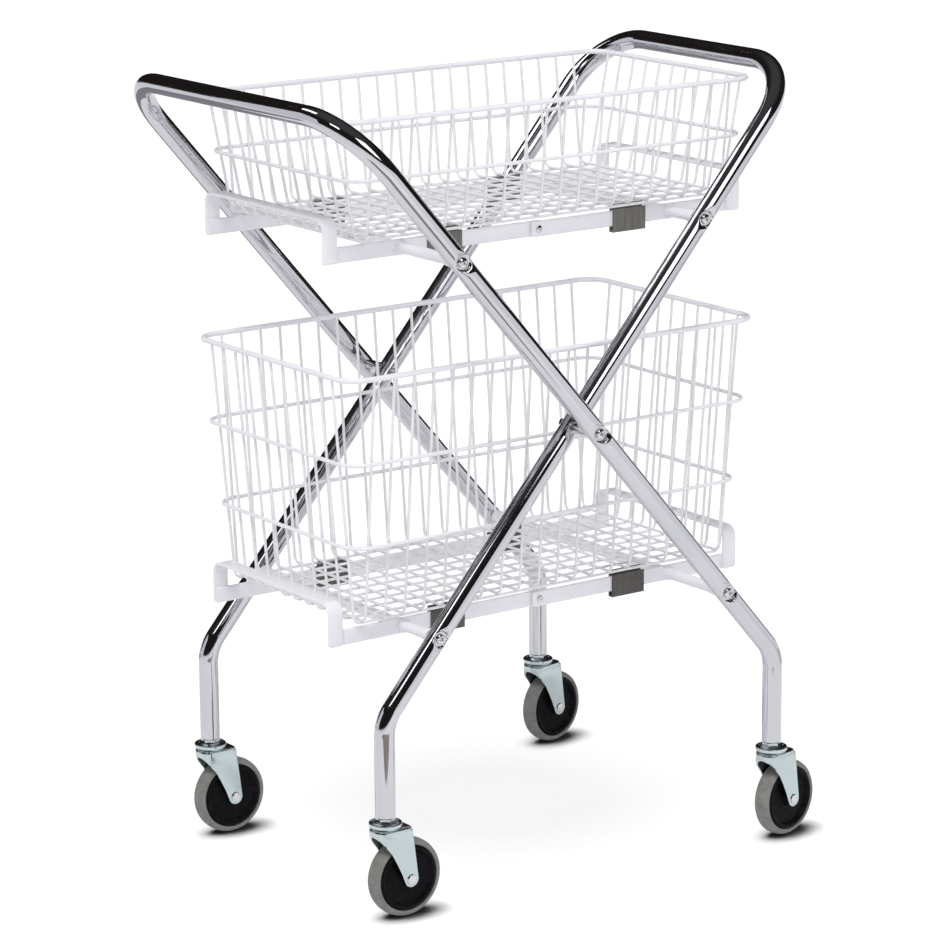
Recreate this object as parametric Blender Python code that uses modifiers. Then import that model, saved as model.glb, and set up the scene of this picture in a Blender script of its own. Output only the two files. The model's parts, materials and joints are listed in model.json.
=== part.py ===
"""Folding two-basket utility cart on four swivel casters.

Metres, +Z up, origin on the floor under the pivots. -X is the front, where the
outer frame's handle is, and the casters trail toward +X. -Y is the left side.
"""
import math

import bmesh
import bpy
from mathutils import Matrix, Vector

# Crossed frames
TUBE_R = 0.0111
TUBE_WALL = 0.0014
OUTER_HALF = 0.2210            # centre plane to the centre of an outer leg
INNER_HALF = 0.1755
PIVOT_Z = 0.5115
LEAN = math.radians(41.0)      # leg against the vertical when the cart is open
BOLT_REACH = 0.276             # from the pivot along a leg to a cross tube's screw
HANDLE_REACH = 0.484
HANDLE_BEND = 0.075
FOOT_BEND = 0.045
FOOT_X = 0.2515
FOOT_Z = 0.116
SEAT_DEPTH = 0.0055            # leg centre to the pressed flat under a screw head
SEAT_HALF = 0.007
SEAT_BLEND = 0.016

# Screws, bolts, spacers and cross tubes
GAP = 0.0003
SHANK_R = 0.0030
HOLE_R = 0.0034
HEAD_R = 0.0058
HEAD_H = 0.0030
CROSS_R = 0.00635
CROSS_BORE = 0.0034
CROSS_THREAD = 0.022
SPACER_R = 0.0075
NUT_R = 0.0062
NUT_H = 0.0055

# Shelf half-frames and clips, heights measured from the cross tube's axis
CROSS_X = BOLT_REACH * math.sin(LEAN)
SHELF_RISE = BOLT_REACH * math.cos(LEAN)
RAIL_H = 0.0175
RAIL_T = 0.0040
RAIL_FACE = 0.1180             # outer face of a rear half's rail
RAIL_END = 0.2780
LAP = 0.0096                   # how far a rail runs past the middle rivet
POST_X = 0.2713
POST_W = 0.0185
STRAP_T = 0.0030
STRAP_PROUD = 0.0020
STRAP_TOP = 0.0400
STRAP_BEND = 0.012
RIVET_R = 0.0040
RIVET_H = 0.0016
CLIP_X = 0.1235
CLIP_W = 0.0450
CLIP_T = 0.0016
CLIP_TOP = 0.0106
CLIP_BOTTOM = -0.0155
CLIP_INNER_TOP = 0.0150         # the inner wall stands up beside the basket's outer wire

# Baskets: half length and half width to the middle of the rim wire, rim height, how much
# the end and side walls lean in for each metre down, and how far the basket sits to the rear
BASKETS = {
    "upper": (0.2760, 0.1440, 0.8630, 0.205, 0.110, 0.0060),
    "lower": (0.2790, 0.1510, 0.5910, 0.089, 0.085, 0.0040),
}
RIM_R = 0.0030
RIM_CORNER = 0.026
BASKET_WALL = 0.0025
BASKET_BEND = 0.010

# Casters, X measured from the swivel axis
WHEEL_R = 0.0440
WHEEL_W = 0.0220
HUB_R = 0.0365
TRAIL = 0.0235
AXLE_R = 0.0040
AXLE_HEAD_R = 0.0055
FORK_INNER = 0.0127
FORK_T = 0.0024
FORK_TIP = 0.0090
CROWN_TOP = 0.1035
CROWN_BOTTOM = 0.0985
CROWN_R = 0.0175
CROWN_REAR = 0.0275
CROWN_HALF = 0.0166
KINGPIN_R = 0.0050
STEM_R = 0.0092
REAR_SWIVEL = math.radians(10.0)  # the rear casters stand turned, trailing a little to +Y

ENDS = {"front": -1, "rear": 1}
SIDES = {"left": -1, "right": 1}
SHELVES = {"upper": 1, "lower": -1}

CHROME = ("chrome", (0.78, 0.78, 0.76), 0.08, 1.0)
BRIGHT = ("bright_steel", (0.80, 0.80, 0.79), 0.15, 1.0)
ZINC = ("zinc", (0.70, 0.74, 0.77), 0.28, 1.0)
WHITE = ("white_enamel", (0.88, 0.88, 0.90), 0.35, 0.0)
CLIP_GREY = ("clip_grey", (0.16, 0.15, 0.14), 0.50, 0.0)
HUB_BLACK = ("hub_black", (0.015, 0.015, 0.016), 0.40, 0.0)
TREAD_GREY = ("tread_grey", (0.17, 0.16, 0.155), 0.60, 0.0)


def clear_scene():
    for item in list(bpy.data.objects):
        bpy.data.objects.remove(item, do_unlink=True)


def new_collection(name):
    collection = bpy.data.collections.new(name)
    bpy.context.scene.collection.children.link(collection)
    return collection


def material(look):
    name, colour, roughness, metallic = look
    found = bpy.data.materials.get(name)
    if found:
        return found
    made = bpy.data.materials.new(name)
    made.use_nodes = True
    shader = made.node_tree.nodes["Principled BSDF"]
    shader.inputs["Base Color"].default_value = (*colour, 1.0)
    shader.inputs["Roughness"].default_value = roughness
    shader.inputs["Metallic"].default_value = metallic
    return made


def add_object(name, mesh, look, collection):
    """One named sub-part; round faces are shaded smooth up to 35 degrees."""
    made = bpy.data.objects.new(name, mesh)
    mesh.materials.clear()
    mesh.materials.append(material(look))
    mesh.shade_smooth()
    mesh.set_sharp_from_angle(angle=math.radians(35.0))
    collection.objects.link(made)
    return made


def mesh_from_bmesh(name, work):
    mesh = bpy.data.meshes.new(name)
    bmesh.ops.recalc_face_normals(work, faces=work.faces)
    work.to_mesh(mesh)
    work.free()
    return mesh


def box_mesh(name, low, high):
    """A box between two corners."""
    low = Vector(low)
    high = Vector(high)
    work = bmesh.new()
    bmesh.ops.create_cube(work, size=1.0)
    size = high - low
    bmesh.ops.scale(work, vec=size, verts=work.verts)
    bmesh.ops.translate(work, vec=(low + high) / 2, verts=work.verts)
    return mesh_from_bmesh(name, work)


def cylinders_mesh(name, centres, radius, length, sides=12):
    """Separate cylinders along Y, used to bore holes."""
    work = bmesh.new()
    for centre in centres:
        place = Matrix.Translation(centre) @ Matrix.Rotation(math.pi / 2, 4, "X")
        bmesh.ops.create_cone(work, cap_ends=True, segments=sides, radius1=radius,
                              radius2=radius, depth=length, matrix=place)
    return mesh_from_bmesh(name, work)


def curve_mesh(name, curve, matrix=None):
    """Turn a curve into a mesh with its caps welded on."""
    holder = bpy.data.objects.new(name + "_curve", curve)
    bpy.context.scene.collection.objects.link(holder)
    if matrix is not None:
        holder.matrix_world = matrix
    bpy.context.view_layer.update()
    graph = bpy.context.evaluated_depsgraph_get()
    mesh = bpy.data.meshes.new_from_object(holder.evaluated_get(graph))
    mesh.transform(holder.matrix_world)
    work = bmesh.new()
    work.from_mesh(mesh)
    bmesh.ops.remove_doubles(work, verts=work.verts, dist=0.00001)
    bmesh.ops.recalc_face_normals(work, faces=work.faces)
    work.to_mesh(mesh)
    work.free()
    bpy.data.objects.remove(holder, do_unlink=True)
    return mesh


def swept_mesh(name, points, radius, resolution, cyclic=False, caps=True):
    """A round bar or tube wall along a polyline."""
    curve = bpy.data.curves.new(name, "CURVE")
    curve.dimensions = "3D"
    curve.bevel_depth = radius
    curve.bevel_resolution = resolution
    curve.use_fill_caps = caps and not cyclic
    spline = curve.splines.new("POLY")
    spline.points.add(len(points) - 1)
    for spot, place in zip(spline.points, points):
        spot.co = (*place, 1.0)
    spline.use_cyclic_u = cyclic
    return curve_mesh(name, curve)


def plate_mesh(name, outline, thickness, matrix):
    """A flat outline with a thickness, centred on its own plane."""
    curve = bpy.data.curves.new(name, "CURVE")
    curve.dimensions = "2D"
    curve.fill_mode = "BOTH"
    curve.extrude = thickness / 2
    spline = curve.splines.new("POLY")
    spline.points.add(len(outline) - 1)
    for spot, place in zip(spline.points, outline):
        spot.co = (place[0], place[1], 0.0, 1.0)
    spline.use_cyclic_u = True
    return curve_mesh(name, curve, matrix)


def turned(name, profile, steps, look, collection, closed=False, axis_to=None):
    """A profile of (radius, height) pairs, top to bottom, turned about Z."""
    mesh = bpy.data.meshes.new(name)
    edges = [(i, i + 1) for i in range(len(profile) - 1)]
    if closed:
        edges.append((len(profile) - 1, 0))
    mesh.from_pydata([(r, 0.0, z) for r, z in profile], edges, [])
    made = add_object(name, mesh, look, collection)
    screw = made.modifiers.new("Turn", "SCREW")
    screw.steps = steps
    screw.render_steps = steps
    screw.use_merge_vertices = True
    screw.merge_threshold = 0.00001
    screw.use_normal_calculate = False
    screw.use_smooth_shade = True
    if axis_to is not None:
        made.rotation_euler = Vector(axis_to).to_track_quat("Z", "Y").to_euler()
    return made


def boolean(target, cutter, operation, cutters):
    """A live Boolean whose cutter is kept as a hidden guide."""
    cutters.objects.link(cutter)
    cutter.hide_render = True
    cutter.display_type = "WIRE"
    step = target.modifiers.new(operation.title(), "BOOLEAN")
    step.operation = operation
    step.solver = "EXACT"
    step.object = cutter


def arc(centre, radius, start, end, steps):
    """Points of a flat arc, angles in degrees."""
    angles = [math.radians(start + (end - start) * i / steps) for i in range(steps + 1)]
    return [(centre[0] + radius * math.cos(a), centre[1] + radius * math.sin(a)) for a in angles]


def fillet(before, corner, after, radius, steps):
    """Points of the arc that rounds a corner between two straight runs."""
    corner = Vector(corner)
    into = (Vector(before) - corner).normalized()
    out = (Vector(after) - corner).normalized()
    half = into.angle(out) / 2
    centre = corner + (into + out).normalized() * (radius / math.sin(half))
    start = corner + into * (radius / math.tan(half)) - centre
    end = corner + out * (radius / math.tan(half)) - centre
    turn = start.angle(end)
    points = []
    for i in range(steps + 1):
        t = i / steps
        mixed = start * math.sin((1 - t) * turn) + end * math.sin(t * turn)
        points.append(centre + mixed / math.sin(turn))
    return points


def leg_point(lean, side_y, reach):
    """A point on a leg's centre line, reach measured up from the pivot."""
    return Vector((lean * reach * math.sin(LEAN), side_y, PIVOT_Z + reach * math.cos(LEAN)))


def frame_path(lean, half):
    """Foot, leg, handle, leg, foot of one bent tube."""
    corner_reach = -FOOT_X / math.sin(LEAN)
    foot = Vector((-lean * FOOT_X, -half, FOOT_Z))
    foot_corner = leg_point(lean, -half, corner_reach)
    handle_corner = leg_point(lean, -half, HANDLE_REACH)
    far_corner = leg_point(lean, half, HANDLE_REACH)
    near_side = [foot]
    near_side += fillet(foot, foot_corner, handle_corner, FOOT_BEND, 4)
    for reach in (-BOLT_REACH, 0.0, BOLT_REACH):
        for offset in (-SEAT_BLEND, -SEAT_HALF, SEAT_HALF, SEAT_BLEND):
            near_side.append(leg_point(lean, -half, reach + offset))
    near_side += fillet(foot_corner, handle_corner, far_corner, HANDLE_BEND, 8)
    return near_side + [Vector((p.x, -p.y, p.z)) for p in reversed(near_side)]


def press_seats(mesh, lean, half, reaches):
    """Press a flat into the outer side of each leg where a screw head sits."""
    along = Vector((lean * math.sin(LEAN), 0.0, math.cos(LEAN)))
    for vertex in mesh.vertices:
        reach = (vertex.co - Vector((0.0, 0.0, PIVOT_Z))).dot(along)
        near = any(abs(reach - spot) < SEAT_HALF + 0.001 for spot in reaches)
        if near and abs(vertex.co.y) > half + SEAT_DEPTH:
            vertex.co.y = math.copysign(half + SEAT_DEPTH, vertex.co.y)


def frame_tube(name, lean, half, seats, parts, cutters):
    mesh = swept_mesh(name, frame_path(lean, half), TUBE_R, 4, caps=False)
    press_seats(mesh, lean, half, seats)
    made = add_object(name, mesh, CHROME, parts)
    wall = made.modifiers.new("Wall", "SOLIDIFY")
    wall.thickness = TUBE_WALL
    wall.offset = -1.0
    spots = [leg_point(lean, y, reach) for y in (-half, half)
             for reach in (-BOLT_REACH, 0.0, BOLT_REACH)]
    holes = cylinders_mesh(name + "_holes", spots, HOLE_R, 2 * TUBE_R + 0.004)
    boolean(made, bpy.data.objects.new(name + "_holes", holes), "DIFFERENCE", cutters)


def screw_profile(head_r, head_h, shank_r, length):
    """A round-headed screw, its head resting on height 0."""
    return [(0.0, head_h), (head_r * 0.55, head_h * 0.92), (head_r * 0.9, head_h * 0.6),
            (head_r, 0.0), (shank_r, 0.0), (shank_r, -length), (0.0, -length)]


def ring_profile(outer, inner, length):
    return [(outer, length / 2), (outer, -length / 2), (inner, -length / 2), (inner, length / 2)]


def pivots(parts):
    """Bolt, spacer and nut on each side; the frames turn about them."""
    between = OUTER_HALF - INNER_HALF - 2 * TUBE_R
    seat = OUTER_HALF + SEAT_DEPTH + GAP
    nut_out = INNER_HALF - TUBE_R - GAP
    bolt = screw_profile(HEAD_R, HEAD_H, SHANK_R, seat - nut_out + NUT_H)
    for side, sign in SIDES.items():
        outward = (0.0, sign, 0.0)
        made = turned("pivot_bolt_" + side, bolt, 12, BRIGHT, parts, axis_to=outward)
        made.location = (0.0, sign * seat, PIVOT_Z)
        ring = ring_profile(SPACER_R, HOLE_R, between - 2 * GAP)
        made = turned("pivot_spacer_" + side, ring, 16, BRIGHT, parts, True, outward)
        made.location = (0.0, sign * (INNER_HALF + TUBE_R + between / 2), PIVOT_Z)
        ring = ring_profile(NUT_R, HOLE_R / math.cos(math.pi / 6), NUT_H)
        made = turned("pivot_nut_" + side, ring, 6, BRIGHT, parts, True, outward)
        made.location = (0.0, sign * (nut_out - NUT_H / 2), PIVOT_Z)


def cross_half(shelf_sign, end_sign):
    """Half-width of the frame that carries a cross tube."""
    return OUTER_HALF if shelf_sign * end_sign < 0 else INNER_HALF


def cross_tube(label, shelf_sign, end_sign, parts):
    half = cross_half(shelf_sign, end_sign)
    length = 2 * (half - TUBE_R - GAP)
    axis_spot = Vector((end_sign * CROSS_X, 0.0, PIVOT_Z + shelf_sign * SHELF_RISE))
    ring = ring_profile(CROSS_R, CROSS_BORE, length)
    made = turned("cross_tube_" + label, ring, 16, WHITE, parts, True, (0.0, 1.0, 0.0))
    made.location = axis_spot
    seat = half + SEAT_DEPTH + GAP
    reach = SEAT_DEPTH + TUBE_R + CROSS_THREAD
    for side, sign in SIDES.items():
        screw = screw_profile(HEAD_R, HEAD_H, SHANK_R, reach)
        made = turned("cross_screw_" + label + "_" + side, screw, 12, BRIGHT, parts,
                      axis_to=(0.0, sign, 0.0))
        made.location = axis_spot + Vector((0.0, sign * seat, 0.0))


def strap_outline(face):
    """Inverted U of flat bar over both rails, in Y and Z."""
    bottom = -RAIL_H / 2
    inner_bend = STRAP_BEND - STRAP_T
    bend_y = face - STRAP_BEND
    bend_z = STRAP_TOP - STRAP_BEND
    outside = arc((bend_y, bend_z), STRAP_BEND, 0, 90, 4)
    outside += arc((-bend_y, bend_z), STRAP_BEND, 90, 180, 4)
    inside = arc((-bend_y, bend_z), inner_bend, 180, 90, 4)
    inside += arc((bend_y, bend_z), inner_bend, 90, 0, 4)
    legs_out = [(face, bottom)] + outside + [(-face, bottom)]
    legs_in = [(-face + STRAP_T, bottom)] + inside + [(face - STRAP_T, bottom)]
    return legs_out + legs_in


def half_frame(label, shelf_sign, end_sign, parts, cutters):
    """Two rails and the end strap that stops the basket, welded together."""
    face = rail_face(end_sign)
    level = PIVOT_Z + shelf_sign * SHELF_RISE
    turn = Matrix(((0, 0, 1, 0), (1, 0, 0, 0), (0, 1, 0, 0), (0, 0, 0, 1)))
    place = Matrix.Translation((end_sign * POST_X, 0.0, level)) @ turn
    name = "half_frame_" + label
    outline = strap_outline(face + STRAP_PROUD)
    made = add_object(name, plate_mesh(name, outline, POST_W, place), WHITE, parts)
    for side, sign in SIDES.items():
        ys = sorted((sign * face, sign * (face - RAIL_T)))
        xs = sorted((-end_sign * LAP, end_sign * RAIL_END))
        rail = box_mesh(name + "_rail_" + side, (xs[0], ys[0], level - RAIL_H / 2 + GAP),
                        (xs[1], ys[1], level + RAIL_H / 2))
        boolean(made, bpy.data.objects.new(rail.name, rail), "UNION", cutters)
    spots = [(end_sign * CROSS_X, 0.0, level)]
    bore = cylinders_mesh(name + "_bore", spots, CROSS_R + 0.0004, 0.30, 16)
    boolean(made, bpy.data.objects.new(bore.name, bore), "DIFFERENCE", cutters)
    hole = cylinders_mesh(name + "_rivet_hole", [(0.0, 0.0, level)], RIVET_R * 0.6, 0.30)
    boolean(made, bpy.data.objects.new(hole.name, hole), "DIFFERENCE", cutters)


def rail_face(end_sign):
    """The front half's rails run inside the rear half's rails."""
    return RAIL_FACE if end_sign > 0 else RAIL_FACE - RAIL_T - GAP


def mid_rivets(shelf, shelf_sign, parts):
    profile = screw_profile(RIVET_R, RIVET_H, RIVET_R * 0.5, RAIL_T)
    for side, sign in SIDES.items():
        made = turned("mid_rivet_" + shelf + "_" + side, profile, 12, BRIGHT, parts,
                      axis_to=(0.0, sign, 0.0))
        made.location = (0.0, sign * (RAIL_FACE + GAP), PIVOT_Z + shelf_sign * SHELF_RISE)


def clips(label, shelf_sign, end_sign, parts):
    """A deep channel around each rail; its inner wall stands taller than its outer one."""
    outer = rail_face(end_sign) + GAP + CLIP_T
    inner = rail_face(end_sign) - RAIL_T - GAP - CLIP_T
    floor = CLIP_BOTTOM + CLIP_T
    outline = [(outer, CLIP_TOP), (outer - CLIP_T, CLIP_TOP), (outer - CLIP_T, floor),
               (inner + CLIP_T, floor), (inner + CLIP_T, CLIP_INNER_TOP),
               (inner, CLIP_INNER_TOP), (inner, CLIP_BOTTOM), (outer, CLIP_BOTTOM)]
    level = PIVOT_Z + shelf_sign * SHELF_RISE
    turn = Matrix(((0, 0, 1, 0), (1, 0, 0, 0), (0, 1, 0, 0), (0, 0, 0, 1)))
    place = Matrix.Translation((end_sign * CLIP_X, 0.0, level)) @ turn
    for side, sign in SIDES.items():
        name = "clip_" + label + "_" + side
        mirrored = [(sign * y, z) for y, z in outline]
        add_object(name, plate_mesh(name, mirrored, CLIP_W, place), CLIP_GREY, parts)


def rounded_rectangle(half_x, half_y, corner, steps):
    points = []
    for start, sx, sy in ((0, 1, 1), (90, -1, 1), (180, -1, -1), (270, 1, -1)):
        centre = (sx * (half_x - corner), sy * (half_y - corner))
        points += arc(centre, corner, start, start + 90, steps)
    return points


def basket(shelf, shelf_sign, parts):
    """A rim of thick wire over a thin tapered tub that stands for the fine wires."""
    half_x, half_y, rim_z, taper_x, taper_y, shift = BASKETS[shelf]
    name = shelf + "_basket"
    loop = rounded_rectangle(half_x, half_y, RIM_CORNER, 4)
    rim = swept_mesh(name + "_rim", [(x + shift, y, rim_z) for x, y in loop], RIM_R, 2, cyclic=True)
    add_object(name + "_rim", rim, WHITE, parts)
    top = rim_z - RIM_R - GAP
    bottom = PIVOT_Z + shelf_sign * SHELF_RISE + CLIP_INNER_TOP + GAP
    work = bmesh.new()
    bmesh.ops.create_cube(work, size=2.0)
    for vertex in work.verts:
        height = top if vertex.co.z > 0 else bottom
        drop = rim_z - height
        vertex.co = (vertex.co.x * (half_x - taper_x * drop) + shift,
                     vertex.co.y * (half_y - taper_y * drop), height)
    lids = [f for f in work.faces if all(v.co.z > bottom + 0.01 for v in f.verts)]
    bmesh.ops.delete(work, geom=lids, context="FACES_ONLY")
    upright = [e for e in work.edges if abs(e.verts[0].co.z - e.verts[1].co.z) > 0.01]
    bmesh.ops.bevel(work, geom=upright, offset=RIM_CORNER, segments=4, profile=0.5,
                    affect="EDGES", offset_type="OFFSET")
    base = [e for e in work.edges if all(v.co.z < bottom + 0.001 for v in e.verts)]
    bmesh.ops.bevel(work, geom=base, offset=BASKET_BEND, segments=2, profile=0.5,
                    affect="EDGES", offset_type="OFFSET")
    made = add_object(name + "_wires", mesh_from_bmesh(name + "_wires", work), WHITE, parts)
    wall = made.modifiers.new("Wall", "SOLIDIFY")
    wall.thickness = BASKET_WALL
    wall.offset = -1.0


def caster_stem_profile():
    """Stem in the tube, hex collar, raceway disc and kingpin."""
    return [(0.0, FOOT_Z + 0.030), (STEM_R, FOOT_Z + 0.030), (STEM_R, FOOT_Z - GAP),
            (0.0105, FOOT_Z - GAP), (0.0105, 0.1125), (0.0125, 0.1120), (0.0178, 0.1095),
            (0.0182, 0.1055), (0.0165, CROWN_TOP + GAP), (KINGPIN_R, CROWN_TOP + GAP),
            (KINGPIN_R, CROWN_BOTTOM - 0.002), (0.0, CROWN_BOTTOM - 0.002)]


def hub_profile():
    """Half across a dished hub, bore included, as a closed loop."""
    half = WHEEL_W / 2
    bore = AXLE_R + GAP
    return [(0.0085, half), (0.0100, half - 0.0045), (0.0295, half - 0.0045),
            (0.0325, half - 0.0010), (HUB_R, half - 0.0010), (HUB_R, 0.0010 - half),
            (0.0325, 0.0010 - half), (0.0295, 0.0045 - half), (0.0100, 0.0045 - half),
            (0.0085, -half), (bore, -half), (bore, half)]


def tread_profile():
    half = WHEEL_W / 2
    inner = HUB_R + GAP
    return [(inner, half - 0.001), (WHEEL_R - 0.0035, half - 0.001),
            (WHEEL_R - 0.0008, half - 0.0045), (WHEEL_R, 0.0),
            (WHEEL_R - 0.0008, 0.0045 - half), (WHEEL_R - 0.0035, 0.001 - half),
            (inner, 0.001 - half)]


def axle_profile():
    head = FORK_INNER + FORK_T + GAP
    return [(0.0, head + 0.0016), (AXLE_HEAD_R * 0.8, head + 0.0016), (AXLE_HEAD_R, head),
            (AXLE_R, head), (AXLE_R, -head), (AXLE_HEAD_R, -head),
            (AXLE_HEAD_R * 0.8, -head - 0.0016), (0.0, -head - 0.0016)]


def fork_leg_outline():
    """One fork leg in X and Z: wide under the crown, hollowed in front, round at the axle."""
    tip = arc((TRAIL, WHEEL_R), FORK_TIP, 0, -155, 7)
    front = [(0.0096, 0.0546), (0.0038, 0.0663), (-0.0020, 0.0768), (-0.0107, 0.0890)]
    return [(-0.0120, CROWN_TOP - 0.001), (CROWN_REAR - 0.001, CROWN_TOP - 0.001)] + tip + (
        front + [(-0.0120, 0.0925)])


def crown_outline():
    nose = arc((0.0, 0.0), CROWN_R, 109, 251, 8)
    return nose + [(CROWN_REAR - 0.006, -CROWN_HALF), (CROWN_REAR, -CROWN_HALF + 0.006),
                   (CROWN_REAR, CROWN_HALF - 0.006), (CROWN_REAR - 0.006, CROWN_HALF)]


def fork(name, place, parts, cutters):
    middle = Matrix.Translation((0.0, 0.0, (CROWN_TOP + CROWN_BOTTOM) / 2))
    crown = plate_mesh(name, crown_outline(), CROWN_TOP - CROWN_BOTTOM, place @ middle)
    made = add_object(name, crown, ZINC, parts)
    upright = Matrix.Rotation(math.pi / 2, 4, "X")
    for side, sign in SIDES.items():
        aside = Matrix.Translation((0.0, sign * (FORK_INNER + FORK_T / 2), 0.0))
        leg = plate_mesh(name + "_leg_" + side, fork_leg_outline(), FORK_T, place @ aside @ upright)
        boolean(made, bpy.data.objects.new(leg.name, leg), "UNION", cutters)
    work = bmesh.new()
    king = place @ Matrix.Translation((0.0, 0.0, CROWN_TOP))
    bmesh.ops.create_cone(work, cap_ends=True, segments=12, radius1=KINGPIN_R + 0.0005,
                          radius2=KINGPIN_R + 0.0005, depth=0.03, matrix=king)
    bore = mesh_from_bmesh(name + "_king_bore", work)
    boolean(made, bpy.data.objects.new(bore.name, bore), "DIFFERENCE", cutters)
    axle_spot = (TRAIL, 0.0, WHEEL_R)
    hole = cylinders_mesh(name + "_axle_bore", [axle_spot], AXLE_R + 0.0004, 0.06)
    hole.transform(place)
    boolean(made, bpy.data.objects.new(hole.name, hole), "DIFFERENCE", cutters)


def caster(label, x, y, swivel, parts, cutters):
    place = Matrix.Translation((x, y, 0.0)) @ Matrix.Rotation(swivel, 4, "Z")
    across = (-math.sin(swivel), math.cos(swivel), 0.0)
    stem = turned("caster_stem_" + label, caster_stem_profile(), 16, ZINC, parts)
    stem.location = (x, y, 0.0)
    fork("caster_fork_" + label, place, parts, cutters)
    axle = turned("caster_axle_" + label, axle_profile(), 12, BRIGHT, parts, axis_to=across)
    hub = turned("wheel_hub_" + label, hub_profile(), 20, HUB_BLACK, parts, True, across)
    tread = turned("wheel_tread_" + label, tread_profile(), 28, TREAD_GREY, parts, True, across)
    for piece in (axle, hub, tread):
        piece.location = place @ Vector((TRAIL, 0.0, WHEEL_R))


def build():
    clear_scene()
    parts = new_collection("folding_basket_cart")
    cutters = new_collection("cutters")
    reaches = (-BOLT_REACH, 0.0, BOLT_REACH)
    frame_tube("outer_frame_tube", -1, OUTER_HALF, reaches, parts, cutters)
    frame_tube("inner_frame_tube", 1, INNER_HALF, (-BOLT_REACH, BOLT_REACH), parts, cutters)
    pivots(parts)
    for shelf, shelf_sign in SHELVES.items():
        mid_rivets(shelf, shelf_sign, parts)
        basket(shelf, shelf_sign, parts)
        for end, end_sign in ENDS.items():
            label = shelf + "_" + end
            cross_tube(label, shelf_sign, end_sign, parts)
            half_frame(label, shelf_sign, end_sign, parts, cutters)
            clips(label, shelf_sign, end_sign, parts)
    for end, end_sign in ENDS.items():
        half = OUTER_HALF if end_sign > 0 else INNER_HALF
        swivel = REAR_SWIVEL if end_sign > 0 else 0.0
        for side, sign in SIDES.items():
            caster(end + "_" + side, end_sign * FOOT_X, sign * half, swivel, parts, cutters)


build()
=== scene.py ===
"""Look of the folding two-basket cart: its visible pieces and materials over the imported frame.

Metres, +Z up. -X is the front, where the outer frame's handle is, and -Y is the left.
Each piece stands for one or more CAD nodes and rides on their body.
"""
import json
import math

import bmesh
import bpy
from mathutils import Matrix, Vector

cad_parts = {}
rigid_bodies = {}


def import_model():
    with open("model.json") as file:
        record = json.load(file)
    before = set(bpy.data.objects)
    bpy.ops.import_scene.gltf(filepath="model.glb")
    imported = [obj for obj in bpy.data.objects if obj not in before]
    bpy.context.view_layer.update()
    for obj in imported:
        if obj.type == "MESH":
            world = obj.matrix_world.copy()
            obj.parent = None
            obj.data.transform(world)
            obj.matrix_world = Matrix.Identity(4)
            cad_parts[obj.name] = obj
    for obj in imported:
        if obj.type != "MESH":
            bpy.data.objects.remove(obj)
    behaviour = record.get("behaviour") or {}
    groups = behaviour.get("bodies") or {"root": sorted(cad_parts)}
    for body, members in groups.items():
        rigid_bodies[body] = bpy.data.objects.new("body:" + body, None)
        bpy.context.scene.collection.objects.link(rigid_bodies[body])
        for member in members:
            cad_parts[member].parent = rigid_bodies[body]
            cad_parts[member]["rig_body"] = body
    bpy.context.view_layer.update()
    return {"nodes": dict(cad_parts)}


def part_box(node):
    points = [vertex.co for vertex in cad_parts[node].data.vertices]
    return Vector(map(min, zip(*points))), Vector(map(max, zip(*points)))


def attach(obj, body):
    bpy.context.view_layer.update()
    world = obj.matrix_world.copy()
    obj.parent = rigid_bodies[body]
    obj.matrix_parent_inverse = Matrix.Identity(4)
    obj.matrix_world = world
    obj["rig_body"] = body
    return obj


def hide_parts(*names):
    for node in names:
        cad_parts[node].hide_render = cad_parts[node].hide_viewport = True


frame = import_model()


def low(node):
    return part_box(node)[0]


def high(node):
    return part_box(node)[1]


def centre(node):
    return (low(node) + high(node)) / 2


def span(node):
    return high(node) - low(node)


# Sizes measured on the frame
FOOT_X = centre("caster_stem_rear_left").x
FOOT_Z = low("outer_frame_tube").z
TUBE_R = high("outer_frame_tube").x - FOOT_X
OUTER_HALF = -centre("caster_stem_rear_left").y
INNER_HALF = -centre("caster_stem_front_left").y
PIVOT_Z = centre("pivot_bolt_left").z
CROSS_X = centre("cross_tube_upper_rear").x
CROSS_RISE = centre("cross_tube_upper_rear").z - PIVOT_Z
LEAN = math.atan2(CROSS_X, CROSS_RISE)
BOLT_REACH = math.hypot(CROSS_X, CROSS_RISE)
HANDLE_REACH = (high("outer_frame_tube").z - TUBE_R - PIVOT_Z) / math.cos(LEAN)
HEAD_R = span("pivot_bolt_left").x / 2
CROSS_R = span("cross_tube_upper_rear").x / 2
NUT_R = span("pivot_nut_left").z / 2
SPACER_R = span("pivot_spacer_left").z / 2
POST_X = high("half_frame_upper_rear").x
RIM_R = span("upper_basket_rim").z / 2
WHEEL_R = span("wheel_tread_rear_left").z / 2
WHEEL_W = span("wheel_hub_front_left").y
HUB_R = span("wheel_hub_rear_left").z / 2
AXLE_REACH = span("caster_axle_front_left").y / 2
RIVET_R = span("mid_rivet_upper_left").z / 2
CLIP_W = span("clip_upper_rear_left").x

# Sizes that the frame's boxes don't give
TUBE_WALL = 0.0014
HANDLE_BEND = 0.075
FOOT_BEND = 0.045
SEAT_DEPTH = 0.0055            # leg centre to the pressed flat under a screw head
COIN_R = 0.0082                # the crisp round flat at the bottom of a dimple
DIMPLE_DEPTH = 0.0070          # leg centre to the soft dimple around that flat
DIMPLE_REACH = 0.024
HEAD_H = 0.0030
SHANK_R = 0.0030
RAIL_H = 0.0175
RAIL_T = 0.0040
RAIL_FACE = 0.1180             # outer face of a rear half's rail
RAIL_STEP = 0.0043             # how far inside it a front half's rail runs
RAIL_LAP = 0.0096
POST_W = 0.0185
STRAP_T = 0.0030
STRAP_PROUD = 0.0020
STRAP_TOP = 0.0400
STRAP_BEND = 0.012
CLIP_T = 0.0016
CLIP_STEP = 0.0044             # how much taller a clip's inner wall is than its outer plate
RING_R = 0.0022
WIRE_R = 0.0016
RIM_CORNER = 0.026
BASKET_BEND = 0.010
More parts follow.
